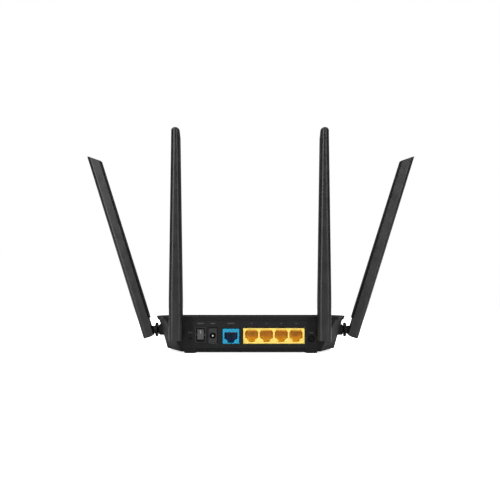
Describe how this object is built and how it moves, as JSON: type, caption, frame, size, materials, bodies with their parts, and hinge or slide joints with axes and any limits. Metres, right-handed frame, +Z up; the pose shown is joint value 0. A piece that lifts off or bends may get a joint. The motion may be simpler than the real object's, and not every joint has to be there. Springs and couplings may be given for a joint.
{
  "type": "wireless router",
  "caption": "Flat black wireless router with hinged paddle antennas at its sides and rear, a row of coloured network ports, a power inlet, a rocker switch and a push button.",
  "frame": {"origin": "on the desk, under the middle of the whole router's outline with its antennas as shown", "axes": "+X to the right when the port side is faced, +Y from the port side to the front, +Z up"},
  "size_m": [0.3364, 0.1466, 0.2087],
  "materials": {
    "black_plastic": "fine texture, matt",
    "antenna_plastic": "fine texture, semi-matt",
    "cover_plastic": "fine texture, a little darker than the base",
    "joint_plastic": "smoother and a little darker, semi-matt",
    "pad_rubber": "matt",
    "zinc_steel": "zinc plated",
    "label": "blank paper-like film",
    "circuit_board": "green solder mask",
    "chip": "moulded epoxy",
    "pad_grey": "soft silicone pad",
    "sink_aluminium": "extruded",
    "tin_plate": "tinned",
    "can_aluminium": "sleeved can",
    "ferrite": "pressed iron powder",
    "ceramic": "ceramic chips",
    "blue_plastic": "moulded, semi-gloss",
    "yellow_plastic": "moulded, semi-gloss",
    "gold_wire": "gold plated",
    "jack_plastic": "moulded",
    "pin_metal": "nickel plated",
    "rocker_plastic": "moulded, semi-gloss",
    "led": "clear lens over a chip",
    "clear_plastic": "clear polycarbonate",
    "coax_jacket": "fluoropolymer jacket"
  },
  "bodies": {
    "housing": {"bottom_case": "black_plastic", "top_cover": "cover_plastic", "foot_pads": "pad_rubber", "case_screws": "zinc_steel", "rating_label": "label", "main_board": "circuit_board", "board_screws": "zinc_steel", "soc_chip": "chip", "thermal_pad": "pad_grey", "heat_sink": "sink_aluminium", "memory_chips": "chip", "radio_shield_2g": "tin_plate", "radio_shield_5g": "tin_plate", "network_transformers": "chip", "electrolytic_capacitors": "can_aluminium", "power_inductors": "ferrite", "chip_components": "ceramic", "wan_jack_housing": "blue_plastic", "wan_jack_contacts": "gold_wire", "lan_jack_housing": "yellow_plastic", "lan_jack_contacts": "gold_wire", "dc_jack_housing": "jack_plastic", "dc_jack_pin": "pin_metal", "dc_jack_spring": "pin_metal", "power_switch_housing": "jack_plastic", "power_switch_terminals": "pin_metal", "reset_switch_body": "jack_plastic", "wps_switch_body": "jack_plastic", "status_leds": "led", "light_pipe": "clear_plastic", "side_left_coax": "coax_jacket", "side_right_coax": "coax_jacket", "rear_left_coax": "coax_jacket", "rear_right_coax": "coax_jacket"},
    "power_rocker": {"power_rocker": "rocker_plastic"},
    "wps_button": {"wps_button": "joint_plastic", "wps_plunger": "rocker_plastic"},
    "reset_plunger": {"reset_plunger": "rocker_plastic"},
    "side_left_knuckle": {"side_left_knuckle": "joint_plastic"},
    "side_left_antenna": {"side_left_antenna_shell": "antenna_plastic", "side_left_antenna_cover": "joint_plastic", "side_left_antenna_element": "circuit_board", "side_left_hinge_pin": "pin_metal"},
    "side_right_knuckle": {"side_right_knuckle": "joint_plastic"},
    "side_right_antenna": {"side_right_antenna_shell": "antenna_plastic", "side_right_antenna_cover": "joint_plastic", "side_right_antenna_element": "circuit_board", "side_right_hinge_pin": "pin_metal"},
    "rear_left_knuckle": {"rear_left_knuckle": "joint_plastic"},
    "rear_left_antenna": {"rear_left_antenna_shell": "antenna_plastic", "rear_left_antenna_cover": "joint_plastic", "rear_left_antenna_element": "circuit_board", "rear_left_hinge_pin": "pin_metal"},
    "rear_right_knuckle": {"rear_right_knuckle": "joint_plastic"},
    "rear_right_antenna": {"rear_right_antenna_shell": "antenna_plastic", "rear_right_antenna_cover": "joint_plastic", "rear_right_antenna_element": "circuit_board", "rear_right_hinge_pin": "pin_metal"}
  },
  "joints": [
    {"name": "power_switch_rock", "type": "hinge", "parent": "housing", "child": "power_rocker", "pos_m": [-0.0473, -0.05205, 0.0174], "axis": [1, 0, 0], "range_deg": [0, 16]},
    {"name": "wps_press", "type": "slide", "parent": "housing", "child": "wps_button", "axis": [0, 1, 0], "range_m": [0, 0.0005], "stiffness_N_per_m": 800, "springref_m": -0.0003},
    {"name": "reset_press", "type": "slide", "parent": "housing", "child": "reset_plunger", "axis": [0, 1, 0], "range_m": [0, 0.0003], "stiffness_N_per_m": 800, "springref_m": -0.0003},
    {"name": "side_left_swivel", "type": "hinge", "parent": "housing", "child": "side_left_knuckle", "pos_m": [-0.0943, 0.00735, 0.0205], "axis": [1, 0, 0], "range_deg": [-90, 90]},
    {"name": "side_left_tilt", "type": "hinge", "parent": "side_left_knuckle", "child": "side_left_antenna", "pos_m": [-0.1062, 0.00735, 0.0205], "axis": [0, -1, 0], "range_deg": [-17.3, 72.7]},
    {"name": "side_right_swivel", "type": "hinge", "parent": "housing", "child": "side_right_knuckle", "pos_m": [0.0943, 0.00735, 0.0205], "axis": [1, 0, 0], "range_deg": [-90, 90]},
    {"name": "side_right_tilt", "type": "hinge", "parent": "side_right_knuckle", "child": "side_right_antenna", "pos_m": [0.1062, 0.00735, 0.0205], "axis": [0, 1, 0], "range_deg": [-17.3, 72.7]},
    {"name": "rear_left_swivel", "type": "hinge", "parent": "housing", "child": "rear_left_knuckle", "pos_m": [-0.0694, -0.05505, 0.0205], "axis": [0, 1, 0], "range_deg": [-90, 40]},
    {"name": "rear_left_tilt", "type": "hinge", "parent": "rear_left_knuckle", "child": "rear_left_antenna", "pos_m": [-0.0694, -0.06695, 0.0205], "axis": [1, 0, 0], "range_deg": [0, 90]},
    {"name": "rear_right_swivel", "type": "hinge", "parent": "housing", "child": "rear_right_knuckle", "pos_m": [0.0681, -0.05505, 0.0205], "axis": [0, 1, 0], "range_deg": [-40, 90]},
    {"name": "rear_right_tilt", "type": "hinge", "parent": "rear_right_knuckle", "child": "rear_right_antenna", "pos_m": [0.0681, -0.06695, 0.0205], "axis": [1, 0, 0], "range_deg": [0, 90]}
  ]
}
